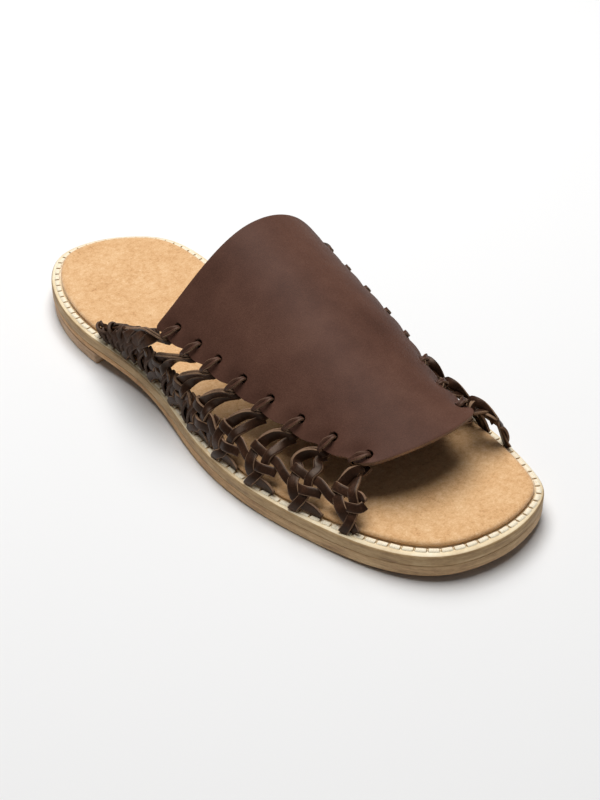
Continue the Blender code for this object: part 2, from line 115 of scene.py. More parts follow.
# ---- curves and surfaces
def spline(xs, ys, x):
    """A smooth curve through (xs, ys), as a natural cubic, at x. Beyond the ends it goes straight on."""
    xs, ys, x = np.asarray(xs, float), np.asarray(ys, float), np.asarray(x, float)
    n, h = len(xs), np.diff(xs)
    a, r = np.eye(n), np.zeros(n)
    for i in range(1, n - 1):
        a[i, i - 1:i + 2] = h[i - 1], 2 * (h[i - 1] + h[i]), h[i]
        r[i] = 6 * ((ys[i + 1] - ys[i]) / h[i] - (ys[i] - ys[i - 1]) / h[i - 1])
    m = np.linalg.solve(a, r)
    i = np.clip(np.searchsorted(xs, x) - 1, 0, n - 2)
    inside = np.clip(x, xs[0], xs[-1])
    p, q, w = inside - xs[i], xs[i + 1] - inside, h[i]
    y = ((m[i] * q**3 + m[i + 1] * p**3) / (6 * w) + (ys[i] / w - m[i] * w / 6) * q
         + (ys[i + 1] / w - m[i + 1] * w / 6) * p)
    slope0 = (ys[1] - ys[0]) / h[0] - m[1] * h[0] / 6
    slope1 = (ys[-1] - ys[-2]) / h[-1] + m[-2] * h[-1] / 6
    return y + np.minimum(x - xs[0], 0) * slope0 + np.maximum(x - xs[-1], 0) * slope1


def smooth(x, start, end):
    """0 before start, 1 after end, and an even S between them."""
    t = np.clip((np.asarray(x, float) - start) / (end - start), 0, 1)
    return t * t * (3 - 2 * t)


def lengths(v):
    """Lengths of the vectors along v's last axis."""
    return np.linalg.norm(v, axis=-1)


def unit_vectors(v):
    return v / lengths(v)[..., None]


def travelled(points, axis=0):
    """Distance along the points from the first, or along each line of a grid of them."""
    return np.insert(np.cumsum(lengths(np.diff(points, axis=axis)), axis=axis), 0, 0, axis=axis)


def sole_outline():
    """Dense points (lateral, along) round the sole, from the heel's end by the lateral side to the toe."""
    side = [(lat, s) for s, lat, _ in SOLE_ROWS]
    back = [(-med, s) for s, _, med in reversed(SOLE_ROWS)]
    p = np.array([(HEEL_TIP_LATERAL, 0.0)] + side + [(TOE_TIP_LATERAL, LENGTH)] + back)
    knots = np.concatenate([[0], np.cumsum(lengths(np.roll(p, -1, 0) - p) ** 0.5)])
    wide = np.concatenate([knots[:-1] - knots[-1], knots[:-1], knots[:-1] + knots[-1], [2 * knots[-1]]])
    ring = np.concatenate([p, p, p, p[:1]])
    at = np.linspace(0, knots[-1], OUTLINE_POINTS, endpoint=False)
    return np.stack([spline(wide, ring[:, c], at) for c in (0, 1)], axis=1)


OUTLINE = sole_outline()


def inward(points, inset):
    """The closed outline moved inward by inset, a number or one number a point."""
    run = unit_vectors(np.roll(points, -1, 0) - np.roll(points, 1, 0))
    normal = np.stack([-run[:, 1], run[:, 0]], axis=1)
    return points + normal * np.reshape(inset, (-1, 1))


def half_widths(points):
    """The outline split at its two ends, into its lateral and its medial side."""
    first, last = points[:, 1].argmin(), points[:, 1].argmax()
    ring = np.roll(points, -first, 0)
    last = (last - first) % len(points)
    return ring[:last + 1], np.concatenate([ring[last:], ring[:1]])[::-1]


def at_along(side, along):
    return np.interp(along, side[:, 1], side[:, 0])


def under(s):
    """Height of the outsole's underside."""
    spring = np.maximum((s - SPRING_START) / (LENGTH - SPRING_START), 0)
    return HEEL_HEIGHT * (1 - smooth(s, HEEL_END, ARCH_END)) + TOE_SPRING * spring**2


def outsole_top(s):
    return under(s) + OUTSOLE_WAIST + (OUTSOLE_FORE - OUTSOLE_WAIST) * smooth(s, WAIST_END, ARCH_END)


def midsole_top(s):
    return outsole_top(s) + GAP + MIDSOLE


def insole_top(s):
    return midsole_top(s) + GAP + INSOLE


def margin(points):
    """Width of the welt outside the insole at each point of the outline."""
    toe = smooth(points[:, 1], *MARGIN_ALONG)
    side = smooth(points[:, 0], *MARGIN_ACROSS)
    front = MARGIN_TOE_MEDIAL + (MARGIN_TOE_LATERAL - MARGIN_TOE_MEDIAL) * side
    return MARGIN_HEEL + (front - MARGIN_HEEL) * toe


def vamp_at(place, across):
    """Points (lateral, along, height) of the vamp's middle surface. across: -1 at the medial edge, 1 at the
    lateral."""
    place, across = np.broadcast_arrays(np.asarray(place, float), np.asarray(across, float))
    rows = np.array(VAMP_ROWS)
    (al, ac, am, xl, xm, zl, zfl, zc, zfm, zm) = (spline(rows[:, 0], rows[:, c], place) for c in range(1, 11))
    lateral = (xl + xm) / 2 + (xl - xm) / 2 * across
    along = ac + (al - am) / 2 * across + ((al + am) / 2 - ac) * across**2
    mean = (zl + zm) / 2
    edge = mean + (zl - zm) / 2 * across
    w, f = np.abs(across), FLANK
    arch = np.zeros(across.shape)
    for sign, flank, side in ((1, zfl, zl), (-1, zfm, zm)):
        line = mean + (side - mean) * f
        rise = zc - mean
        share = (flank - line) / np.where(np.abs(rise) < 1e-6, 1, rise)
        a = (1 - share - f**4) / (f**2 - f**4)
        here = rise * (1 - a * w**2 - (1 - a) * w**4)
        arch = np.where(sign * across >= 0, here, arch)
    return np.stack([lateral, along, edge + arch], axis=-1)


def normal_of(surface, u, v, outward=(0, 0, 1)):
    """Unit normal of surface(u, v), on the side that outward points to."""
    step = 1e-3
    a = surface(u + step, v) - surface(u - step, v)
    b = surface(u, v + step) - surface(u, v - step)
    n = unit_vectors(np.cross(a, b))
    return np.where((n @ np.array(outward, float))[..., None] < 0, -n, n)


def edge_place(sign, along):
    """Place (0 to 1) at which the vamp's cut edge is at this along."""
    t = np.linspace(-0.1, 1.1, 241)
    return np.interp(along, vamp_at(t, sign)[:, 1], t)


def across_at(sign, place, inset):
    """The across value that is inset millimetres from the cut edge, measured on the surface."""
    w = np.linspace(1, 0.5, 101)
    return sign * np.interp(inset, travelled(vamp_at(place, sign * w)), w)


class Weave:
    """The surface between one cut edge of the vamp and the sole. unit: 1 to 8 at the holes; depth: 0 at the
    vamp, 1 at the sole."""

    def __init__(self, sign, rows):
        self.sign = sign
        self.units = np.arange(1, HOLES + 1)
        self.hole, self.foot, self.lean, self.knot, self.depth = np.array(rows).T
        self.tail = 1 - TAIL_UNITS
        sides = half_widths(inward(OUTLINE, margin(OUTLINE) - FOOT_INSET))
        self.line = sides[0] if sign > 0 else sides[1]
        self.swell = 0.0 if sign > 0 else MEDIAL_SWELL

    def foot_at(self, unit):
        s = spline(self.units, self.foot, unit)
        return np.stack([at_along(self.line, s), s, midsole_top(s) + GAP + FOOT_RISE], axis=-1)

    def top_at(self, unit):
        """Just outside the cut edge, and the way the vamp points there. Behind the vamp's corner it runs
        down to the tail's end."""
        unit = np.asarray(unit, float)
        hole = spline(self.units, self.hole, np.maximum(unit, CORNER_UNIT))
        place = edge_place(self.sign, hole)
        edge = vamp_at(place, self.sign)
        out = unit_vectors(edge - vamp_at(place, self.sign * 0.97))
        top = edge + out * (GAP + TOP_GAP)
        end = self.foot_at(np.full(unit.shape, self.tail)) + (0, 0, TAIL_HEIGHT)
        share = np.clip((CORNER_UNIT - unit) / (CORNER_UNIT - self.tail), 0, 1)[..., None]
        return top + (end - top) * share, out

    def __call__(self, unit, depth):
        unit, t = np.broadcast_arrays(np.asarray(unit, float), np.asarray(depth, float))
        (top, out), foot = self.top_at(unit), self.foot_at(unit)
        size = lengths(top - foot)[..., None] / SPAN
        lean = spline(self.units, self.lean, np.maximum(unit, 1)) * self.sign
        up = np.stack([lean, 0 * lean, 0 * lean + RISE], axis=-1)
        t = t[..., None]
        return (top * (1 - t)**3 + (top + out * REACH * size) * 3 * t * (1 - t)**2
                + (foot + up * size) * 3 * t**2 * (1 - t) + foot * t**3)


SIDES = {"plait_lateral": Weave(1, LATERAL_ROWS), "plait_medial": Weave(-1, MEDIAL_ROWS)}


def ripple(points, size, seed=0.0):
    """Smooth noise, about -1 to 1, with features of this size in millimetres."""
    p = np.asarray(points, float) / size + seed
    return np.array([noise.noise(Vector(q)) for q in p.reshape(-1, 3)]).reshape(p.shape[:-1])


# ---- materials
def linear(colour):
    """A shader's colour for (red, green, blue) as 0 to 255 on the screen."""
    share = (c / 255 for c in colour)
    return tuple(c / 12.92 if c < 0.04045 else ((c + 0.055) / 1.055) ** 2.4 for c in share) + (1.0,)


class Look:
    """A material under construction, with patterns in object coordinates."""

    def __init__(self, name, roughness, **sockets):
        self.material = bpy.data.materials.new(name)
        self.material.use_nodes = True
        self.tree = self.material.node_tree
        self.shader = self.tree.nodes["Principled BSDF"]
        self.feed(self.shader, Roughness=roughness, **sockets)
        self.coordinates = self.tree.nodes.new("ShaderNodeTexCoord").outputs["Object"]

    def feed(self, node, **inputs):
        """Sets or links a node's inputs by name, or by number where the name is i0, i1 and so on."""
        for key, value in inputs.items():
            numbered = key[0] == "i" and key[1:].isdigit()
            socket = node.inputs[int(key[1:]) if numbered else key.replace("_", " ")]
            if isinstance(value, bpy.types.NodeSocket):
                self.tree.links.new(value, socket)
            else:
                socket.default_value = value

    def node(self, kind, settings=None, **inputs):
        node = self.tree.nodes.new("ShaderNode" + kind)
        for key, value in (settings or {}).items():
            setattr(node, key, value)
        self.feed(node, **inputs)
        return node

    def placed(self, stretch):
        """The coordinates, scaled by stretch."""
        return self.node("Mapping", Vector=self.coordinates, Scale=stretch).outputs["Vector"]

    def noise(self, size, detail=2.0, roughness=0.5, stretch=(1, 1, 1), distortion=0.0):
        """Cloudy noise with features of this size in millimetres."""
        return self.node("TexNoise", Vector=self.placed(stretch), Scale=1 / (size * MM), Detail=detail,
                         Roughness=roughness, Distortion=distortion).outputs["Fac"]

    def cells(self, size):
        """Distance to the edges of cells of this size in millimetres."""
        return self.node("TexVoronoi", {"feature": "DISTANCE_TO_EDGE"}, Vector=self.placed((1, 1, 1)),
                         Scale=1 / (size * MM)).outputs["Distance"]

    def ramp(self, value, *stops):
        """Screen colours, or greys given as numbers from 0 to 1, along value."""
        node = self.node("ValToRGB", Fac=value)
        band = node.color_ramp
        while len(band.elements) < len(stops):
            band.elements.new(0.5)
        for element, (at, colour) in zip(band.elements, stops):
            element.position = at
            element.color = linear(colour) if isinstance(colour, tuple) else (colour, colour, colour, 1)
        return node.outputs["Color"]

    def mix(self, share, a, b, blend="MIX"):
        return self.node("Mix", {"data_type": "RGBA", "blend_type": blend}, i0=share, i6=a, i7=b).outputs[2]

    def add(self, *weighted):
        """The sum of value * weight."""
        def math_node(operation, a, b):
            return self.node("Math", {"operation": operation}, i0=a, i1=b).outputs[0]

        total, *parts = (math_node("MULTIPLY", value, weight) for value, weight in weighted)
        for part in parts:
            total = math_node("ADD", total, part)
        return total

    def colour(self, value):
        self.feed(self.shader, Base_Color=value)

    def gloss(self, value, low, high):
        """Roughness from low to high, for a value of 0 to 1."""
        mapped = self.node("MapRange", Value=value, To_Min=low, To_Max=high).outputs[0]
        self.feed(self.shader, Roughness=mapped)

    def bump(self, height, depth):
        """Relief of this depth in millimetres, for a height of 0 to 1."""
        relief = self.node("Bump", Height=height, Distance=depth * MM, Strength=1.0)
        self.feed(self.shader, Normal=relief.outputs["Normal"])


PORE = 0.6  # millimetres


def grained_leather(name, dark, mid, light, roughness, shine, patch, sheen=(1.0, 0.8, 0.64, 1.0)):
    """Smooth-finished leather: fine pores, cloudy colour in patches and a soft sheen of its own colour."""
    look = Look(name, roughness, Specular_IOR_Level=shine, Specular_Tint=sheen)
    cloud = look.noise(patch, 4, 0.6)
    fine = look.noise(PORE, 3, 0.6)
    pores = look.cells(PORE)
    body = look.ramp(look.add((cloud, 0.65), (fine, 0.35)), (0.30, dark), (0.50, mid), (0.72, light))
    look.colour(look.mix(look.ramp(pores, (0.0, 0.82), (0.25, 1.0)), linear(dark), body))
    look.gloss(fine, roughness - 0.06, roughness + 0.08)
    pits = look.ramp(pores, (0.0, 0.0), (0.35, 1.0))
    look.bump(look.add((pits, 0.6), (fine, 0.4), (look.noise(5, 2), 1.2)), 0.03)
    return look.material


def cut_leather(name, dark, light, roughness=0.8):
    """The raw fibre of a cut edge."""
    look = Look(name, roughness)
    grain = look.noise(0.8, 4, 0.7)
    cloud = look.noise(9, 2)
    look.colour(look.ramp(look.add((grain, 0.6), (cloud, 0.4)), (0.3, dark), (0.7, light)))
    look.bump(grain, 0.08)
    return look.material


def suede(name):
    """Tan suede, mottled, with a short nap."""
    look = Look(name, 0.95, Sheen_Weight=0.35, Sheen_Roughness=0.5, Specular_IOR_Level=0.2)
    cloud = look.noise(17, 5, 0.62, distortion=0.4)
    mottle = look.noise(2.4, 4, 0.75)
    nap = look.noise(0.7, 3, 0.7)
    tone = look.add((cloud, 0.2), (mottle, 0.45), (nap, 0.35))
    look.colour(look.ramp(tone, (0.34, (180, 130, 84)), (0.45, (216, 168, 116)),
                          (0.55, (229, 186, 137)), (0.66, (242, 206, 162))))
    look.bump(look.add((nap, 0.6), (mottle, 0.6)), 0.22)
    return look.material


EDGE_ROUGHNESS = 0.62


def layered_edge(name, dark, mid, light, streak=1.0, heelward=(255, 255, 255)):
    """The pared and rubbed edge of sole leather: long streaks along the edge. From the toe to the heel it is
    darkened by the colour heelward."""
    look = Look(name, EDGE_ROUGHNESS)
    streaks = look.noise(1.5 * streak, 4, 0.65, (0.09, 0.09, 1.0))
    cloud = look.noise(14, 3, 0.6)
    fibre = look.noise(0.6, 2, 0.6, (0.4, 0.4, 1.0))
    tone = look.add((streaks, 0.55), (cloud, 0.3), (fibre, 0.15))
    along = look.node("SeparateXYZ", Vector=look.coordinates).outputs["Y"]
    far = look.node("MapRange", Value=along, From_Min=-0.08, From_Max=0.03).outputs[0]
    edge = look.ramp(tone, (0.34, dark), (0.5, mid), (0.66, light))
    look.colour(look.mix(far, edge, look.mix(1.0, edge, linear(heelward), "MULTIPLY")))
    look.gloss(cloud, EDGE_ROUGHNESS - 0.1, EDGE_ROUGHNESS + 0.1)
    look.bump(look.add((streaks, 0.7), (fibre, 0.3)), 0.12)
    return look.material


def thread(name):
    """Pale waxed thread."""
    look = Look(name, 0.85, Sheen_Weight=0.2)
    fibre = look.noise(0.5, 3, 0.6)
    look.colour(look.ramp(fibre, (0.3, (226, 207, 172)), (0.6, (250, 240, 217))))
    look.bump(fibre, 0.1)
    return look.material


# ---- meshes
def to_scene(points):
    """Shoe millimetres (lateral, along, height) to the frame's metres."""
    p = np.asarray(points, float)
    return np.stack([AXIS_SHIFT - p[..., 0], LENGTH / 2 - p[..., 1], p[..., 2]], axis=-1) * MM


def reworked(mesh, work):
    """Runs work on the mesh's bmesh form and puts the result back."""
    b = bmesh.new()
    b.from_mesh(mesh)
    work(b)
    b.to_mesh(mesh)
    b.free()


def placed_object(name, data):
    """A new object in the scene."""
    obj = bpy.data.objects.new(name, data)
    bpy.context.scene.collection.objects.link(obj)
    return obj


def closed_object(name, vertices, faces, materials, kinds=None):
    """An object from shoe millimetres, its faces turned outward. kinds: one index into materials a face."""
    mesh = bpy.data.meshes.new(name)
    mesh.from_pydata([tuple(v) for v in to_scene(vertices)], [], faces)
    for material in materials:
        mesh.materials.append(material)
    if kinds is not None:
        mesh.polygons.foreach_set("material_index", list(kinds))
    reworked(mesh, lambda b: bmesh.ops.recalc_face_normals(b, faces=b.faces))
    return placed_object(name, mesh)


def piece(name, vertices, faces, materials, kinds, node=None):
    """A smooth piece of the shoe. node: the solid that it replaces."""
    obj = closed_object(name, vertices, faces, materials, kinds)
    obj.data.polygons.foreach_set("use_smooth", [True] * len(obj.data.polygons))
    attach(obj, "root")
    if node:
        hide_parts(node)
    return obj


def tube_faces(rings, around, first=0):
    """Side faces between rings of points, ring by ring, and then the two end faces."""
    faces = [(first + i * around + j, first + i * around + (j + 1) % around,
              first + (i + 1) * around + (j + 1) % around, first + (i + 1) * around + j)
             for i in range(rings - 1) for j in range(around)]
    start, last = first, first + (rings - 1) * around
    return faces + [tuple(range(start, start + around)), tuple(range(last, last + around))]


class Body:
    """Vertices, faces and face kinds gathered from several closed parts."""

    def __init__(self):
        self.vertices, self.faces, self.kinds = [], [], []

    def take(self, vertices, faces, kinds, leather=0, raw=1):
        """Adds a closed part. Its faces of kind 0 become of kind leather, the others of kind raw."""
        base = len(self.vertices)
        self.vertices += [tuple(v) for v in vertices]
        self.faces += [tuple(base + i for i in face) for face in faces]
        self.kinds += [raw if kind else leather for kind in kinds]


# ---- sole
STATIONS = 170  # rows of points from heel to toe
ACROSS = 26  # points across the insole


def rows_along(start, end, count, both_round):
    """Stations along the sole, close together at a rounded end."""
    turn = np.pi if both_round else np.pi / 2
    share = (1 - np.cos(np.linspace(0, turn, count + 1))) / (1 - np.cos(turn))
    return start + (end - start) * share


def layer(profile, count=STATIONS, end=None, relief=None, upper=99):
    """A layer of the sole, as (vertices, faces, kinds). profile: rows from its bottom to its top, each the
    inset from the outline and the height, both as a function (None for 0) and a number to add. end: where it
    stops short of the toe. relief(points) is added to the height of its top. From the upper-th row on, the
    faces are of kind 1; the underside's are of kind 2."""
    def total(base, more, at):
        return (base(at) if base else np.zeros(len(at))) + more

    rings = []
    for line, inset, level, height in profile:
        ring = inward(OUTLINE, total(line, inset, OUTLINE))
        lateral, medial = half_widths(ring)
        s = rows_along(lateral[0, 1], lateral[-1, 1] if end is None else end, count, end is None)
        back = s[::-1][1:-1] if end is None else s[::-1][:-1]
        loop = np.concatenate([np.column_stack([at_along(*half), half[1]])
                               for half in ((lateral, s), (medial, back))])
        rings.append(np.column_stack([loop, total(level, height, loop[:, 1])]))
    n = len(rings[0])
    vertices = list(np.concatenate(rings))
    faces = tube_faces(len(rings), n)[:-2]
    kinds = [int(r >= upper) for r in range(len(rings) - 1) for _ in range(n)]

    def other(i):
        """The point across from the i-th."""
        return (n - i) % n if end is None else n - i

    for r, kind in ((0, 2), (len(rings) - 1, int(upper < len(rings)))):
        fine = r > 0 and relief is not None
        grid = []
        for i in range(count + 1):
            j = other(i)
            a, b = rings[r][i], rings[r][j % n]
            tip = i == 0 or (i == count and end is None)
            if tip or not fine:
                grid.append([r * n + i] if tip else [r * n + i, r * n + j])
                continue
            inner = [a + (b - a) * t for t in (1 - np.cos(np.linspace(0, np.pi, ACROSS + 1)[1:-1])) / 2]
            grid.append([r * n + i] + list(range(len(vertices), len(vertices) + len(inner))) + [r * n + j])
            vertices += inner
        for row, following in zip(grid, grid[1:]):
            if len(row) == 1 or len(following) == 1:
                tip, line = (row[0], following) if len(row) == 1 else (following[0], row)
                cap = [(tip, p, q) for p, q in zip(line, line[1:])]
            else:
                cap = [(row[k], row[k + 1], following[k + 1], following[k]) for k in range(len(row) - 1)]
            faces += cap
            kinds += [kind] * len(cap)
    vertices = np.array(vertices)
    if relief is not None:
        top = np.arange(len(rings) * n, len(vertices))
        vertices[top, 2] += relief(vertices[top])
    return vertices, faces, kinds


def shape_of_foot(points):
    """Relief of the insole: a shallow heel seat, a tread at the ball, and the unevenness of worn suede."""
    lateral, along = points[:, 0], points[:, 1]
    sides = half_widths(inward(OUTLINE, margin(OUTLINE) + 3))
    inside = np.minimum(at_along(sides[0], along) - lateral, lateral - at_along(sides[1], along))

    def dish(x, y, wide, long):
        """A round hollow at (x, y), deepest in its middle."""
        return np.exp(-((lateral - x) / wide)**2 - ((along - y) / long)**2)

    return smooth(inside, 0, 9) * (-0.45 * dish(1, 34, 21, 25) - 0.35 * dish(-6, 196, 30, 27)
                                   - 0.2 * dish(-20, 240, 9, 8)
                                   + 0.10 * ripple(points, 21) + 0.05 * ripple(points, 6, 3.7))


def build_sole():
    """The four layers of the sole."""
    pale = layered_edge("midsole", (134, 102, 67), (178, 146, 102), (208, 180, 138))
    # cream for the welt's top faces: partly the welt's own pale leather, partly a painted highlight of the
    # light falling on its top and rounding
    welt_top_and_highlight = layered_edge("midsole_welt_top_and_painted_highlight", (208, 180, 138), (236, 216, 178), (250, 240, 216), 1.4)
    brown = layered_edge("outsole", (148, 112, 78), (198, 163, 119), (222, 191, 146), 0.8, (255, 240, 224))
    tread = cut_leather("sole_underside", (128, 92, 62), (168, 128, 92))
    block = layered_edge("heel_lift", (158, 124, 92), (200, 166, 132), (224, 196, 164), 1.4)

    def layer_piece(name, materials, *profile, **more):
        vertices, faces, kinds = layer(profile, **more)
        piece(name, vertices, faces, materials, kinds, node=name)

    def low(s):
        return outsole_top(s) + SEAM

    def bed(s):
        return midsole_top(s) + GAP

    layer_piece(
        "outsole", [brown, brown, tread],
        (None, 0.9, under, 0.0), (None, 0.35, under, 0.2), (None, 0.05, under, 0.75), (None, 0.0, under, 1.6),
        (None, 0.0, outsole_top, -0.1), (None, 0.06, outsole_top, -0.02), (None, 1.0, outsole_top, 0.0))
    layer_piece(
        # from row upper=6 on, the welt's top takes the cream colour that holds its painted highlight
        "midsole", [pale, welt_top_and_highlight, pale],
        (None, 1.0, low, 0.0), (None, 0.06, low, 0.02), (None, 0.0, low, 0.1), (None, 0.0, low, 1.4),
        (None, 0.0, midsole_top, -1.5), (None, 0.1, midsole_top, -0.7), (None, 0.45, midsole_top, -0.22),
        (None, 1.1, midsole_top, -0.04), (margin, -0.9, midsole_top, 0.0), (margin, -0.25, midsole_top, -0.5),
        (margin, 0.6, midsole_top, -0.5), (margin, 1.4, midsole_top, 0.0), upper=6)
    layer_piece(
        "insole", [suede("insole")] * 3,
        (margin, 0.5, bed, 0.0), (margin, 0.1, bed, 0.25), (margin, 0.0, bed, 0.8), (margin, 0.2, bed, 1.3),
        (margin, 0.7, bed, 1.72), (margin, 1.6, bed, 1.93), (margin, 3.0, insole_top, 0.0),
        relief=shape_of_foot)
    layer_piece(
        "heel_lift", [block, block, tread],
        (None, 1.0, None, 0.0), (None, 0.55, None, 0.15), (None, 0.4, None, 0.6),
        (None, 0.3, None, HEEL_HEIGHT - GAP - 0.5), (None, 0.6, None, HEEL_HEIGHT - GAP),
        count=60, end=HEEL_END)


STITCH_PITCH, STITCH_LENGTH, STITCH_WIDTH, STITCH_HEIGHT = 4.7, 4.56, 2.3, 0.6
STITCH_PLACE, STITCH_SINK = 1.75, 0.12  # out from the insole's edge, and into the midsole
STITCH_ROWS, STITCH_AROUND = 12, 8


def build_stitches():
    """A row of flat stitches in the welt, beside the insole."""
    line = inward(OUTLINE, margin(OUTLINE) - STITCH_PLACE)
    closed = np.concatenate([line, line[:1]])
    run = travelled(closed)
    count = round(run[-1] / STITCH_PITCH)
    angles = 2 * math.pi * np.arange(STITCH_AROUND) / STITCH_AROUND

    def squared(x, power):
        """x from -1 to 1, pushed toward its ends."""
        return math.copysign(abs(x) ** power, x)

    body = Body()
    for k in range(count):
        at = (k + 0.5) * run[-1] / count + np.linspace(-0.5, 0.5, STITCH_ROWS + 1) * STITCH_LENGTH
        x, y = (np.interp(at % run[-1], run, closed[:, c]) for c in (0, 1))
        ahead = unit_vectors(np.gradient(np.column_stack([x, y]), axis=0))
        tilt = 0.12 * math.sin(2.3 * k) + 0.08 * math.sin(5.9 * k)  # no two stitches lie alike
        points = []
        for i in range(STITCH_ROWS + 1):
            t = i / STITCH_ROWS * 2 - 1
            full = max(1 - abs(t)**8, 0.0) ** 0.5
            for a in angles:
                side = squared(math.cos(a), 0.6) * STITCH_WIDTH / 2 * (0.35 + 0.65 * full) + tilt * t
                up = squared(math.sin(a), 0.8) * STITCH_HEIGHT * (0.3 + 0.7 * full)
                points.append((x[i] - ahead[i, 1] * side, y[i] + ahead[i, 0] * side,
                               midsole_top(y[i]) - STITCH_SINK + up))
        # the first and last piece of each stitch, and its end caps, take a darker colour: painted shade where
        # the thread dives into the welt
        ends = [int(i in (0, STITCH_ROWS - 1)) for i in range(STITCH_ROWS) for _ in angles]
        body.take(points, tube_faces(STITCH_ROWS + 1, STITCH_AROUND), ends + [1, 1])
    # painted shade: a darker tan for the stitch ends, for the shade in the gaps between stitches
    shade = cut_leather("stitch_ends_painted_shade", (146, 118, 84), (194, 168, 128), 0.9)
    piece("stitches", body.vertices, body.faces, [thread("stitch_thread"), shade], body.kinds)


# ---- vamp
def hole_frames(weave):
    """Centre, outward normal, direction to the cut edge and direction to the heel, at each lacing hole."""
    frames = []
    for along in weave.hole:
        place = float(edge_place(weave.sign, along))
        across = float(across_at(weave.sign, place, HOLE_INSET))
        centre = vamp_at(place, across)
        to_edge = unit_vectors(vamp_at(place, weave.sign * 1.0) - centre)
        normal = normal_of(vamp_at, place, across)
        normal = unit_vectors(normal - to_edge * np.dot(to_edge, normal))
        side = np.cross(normal, to_edge)
        frames.append((centre, normal, to_edge, side * (-1 if side[1] > 0 else 1)))
    return frames


CORNER_FRONT, CORNER_BACK = 5.0, 3.0  # radii of the vamp's corners
# The cut edge: how far it stands out, and how far, how wide and where behind a hole a loop draws it in
EDGE_OUT, EDGE_PULL, PULL_WIDTH, PULL_BACK = 0.35, 1.1, 2.9, 3.6
HOLE_SIDES = 20
VAMP_GRID = ((110, 170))  # points down and across


def shaped_grid(u, v):
    """The vamp's (place, across) grid, with its corners rounded and its side edges drawn in by the laces."""
    flat = vamp_at(u, v)
    down, over = travelled(flat, 0), travelled(flat, 1)
    per_u = lengths(vamp_at(u + 1e-3, v) - vamp_at(u - 1e-3, v)) / 2e-3
    per_v = lengths(vamp_at(u, v + 1e-3) - vamp_at(u, v - 1e-3)) / 2e-3
    move_u, move_v = np.zeros(u.shape), np.zeros(u.shape)
    for radius, from_end, end in ((CORNER_BACK, down, -1), (CORNER_FRONT, down[-1:] - down, 1)):
        for from_side, side in ((over, -1), (over[:, -1:] - over, 1)):
            x, y = np.clip(radius - from_side, 0, None), np.clip(radius - from_end, 0, None)
            round_off = np.where((x > 0) & (y > 0), np.maximum(x, y) / np.maximum(np.hypot(x, y), 1e-9), 1)
            move_v -= side * x * (1 - round_off)
            move_u -= end * y * (1 - round_off)
    for weave in SIDES.values():
        near = smooth(weave.sign * v, 0.9, 1.0)
        pull = sum(np.exp(-((flat[..., 1] - (hole - PULL_BACK)) / PULL_WIDTH)**2) for hole in weave.hole)
        move_v += weave.sign * near * (EDGE_OUT - EDGE_PULL * pull)
    return u + move_u / per_u, v + move_v / per_v


def hole_cutter(material):
    """Round rods through the vamp, one a lacing hole."""
    vertices, faces = [], []
    for weave in SIDES.values():
        for centre, out, to_edge, side in hole_frames(weave):
            faces += tube_faces(2, HOLE_SIDES, len(vertices))
            for end in (-4, 4):
                for i in range(HOLE_SIDES):
                    a = 2 * math.pi * i / HOLE_SIDES
                    vertices.append(centre + out * end
                                    + (to_edge * math.cos(a) + side * math.sin(a)) * HOLE_DIAMETER / 2)
    return closed_object("lacing_holes", vertices, faces, [material])


def dents(points):
    """How far the vamp stands out at points: soft unevenness, and the pull of the laces round each hole."""
    rise = 0.16 * ripple(points, 23) + 0.05 * ripple(points, 8, 5.1)
    for weave in SIDES.values():
        for centre, _, to_edge, heelward in hole_frames(weave):
            away = points - centre
            a, c = away @ to_edge, away @ heelward
            rise -= 0.75 * np.exp(-((a - 3) / 4.5)**2 - ((c - 1.5) / 3.4)**2)
            rise += 0.2 * np.exp(-((a - 3) / 5)**2 - ((np.abs(c - 1.5) - 7) / 3)**2)
    return rise


def build_vamp():
    """The leather panel over the foot, as a wall with eight lacing holes a side."""
    n, m = VAMP_GRID
    widest = np.pi / 2 * 0.86
    vs = np.sin(np.linspace(-1, 1, m) * widest) / math.sin(widest)  # close together at the sides
    u, v = shaped_grid(*np.meshgrid(np.linspace(0, 1, n), vs, indexing="ij"))
    middle = vamp_at(u, v)
    normal = normal_of(vamp_at, u, v)
    middle = middle + normal * dents(middle)[..., None]
    outer, inner = middle + normal * VAMP / 2, middle - normal * VAMP / 2
    vertices = np.concatenate([outer.reshape(-1, 3), inner.reshape(-1, 3)])
    half = n * m
    faces, kinds = [], []
    for i in range(n - 1):
        for j in range(m - 1):
            a, b, c, d = i * m + j, (i + 1) * m + j, (i + 1) * m + j + 1, i * m + j + 1
            faces += [(a, b, c, d), (half + a, half + d, half + c, half + b)]
            kinds += [0, 1]
    rim = ([i * m for i in range(n)] + [(n - 1) * m + j for j in range(1, m)]
           + [i * m + m - 1 for i in range(n - 2, -1, -1)] + [j for j in range(m - 2, 0, -1)])
    faces += [(a, b, half + b, half + a) for a, b in zip(rim, rim[1:] + rim[:1])]
    kinds += [2] * len(rim)
    skin = grained_leather("vamp", (71, 45, 35), (92, 61, 49), (109, 76, 62), 0.6, 0.14, 26,
                           sheen=(1.0, 1.0, 1.0, 1.0))
    flesh = cut_leather("vamp_flesh_side", (62, 42, 30), (92, 66, 48), 0.9)
    edge = cut_leather("vamp_cut_edge", (84, 58, 42), (146, 112, 84), 0.75)
    obj = piece("vamp", vertices, faces, [skin, flesh, edge], kinds, node="vamp")
    bevel = obj.modifiers.new("rubbed_edges", "BEVEL")
    bevel.width, bevel.segments = 0.45 * MM, 2
    bevel.limit_method, bevel.angle_limit = "ANGLE", math.radians(50)
    cutter = hole_cutter(flesh)
    cut = obj.modifiers.new("holes", "BOOLEAN")
    cut.operation, cut.solver, cut.object = "DIFFERENCE", "EXACT", cutter
    solid = bpy.data.meshes.new_from_object(obj.evaluated_get(bpy.context.evaluated_depsgraph_get()))
    # without the cut's points on straight edges, which would give the triangulated mesh doubled edges
    reworked(solid, lambda b: bmesh.ops.dissolve_verts(
        b, verts=[v for v in b.verts if len(v.link_edges) == 2]))
    obj.modifiers.clear()
    obj.data = solid
    bpy.data.objects.remove(cutter)


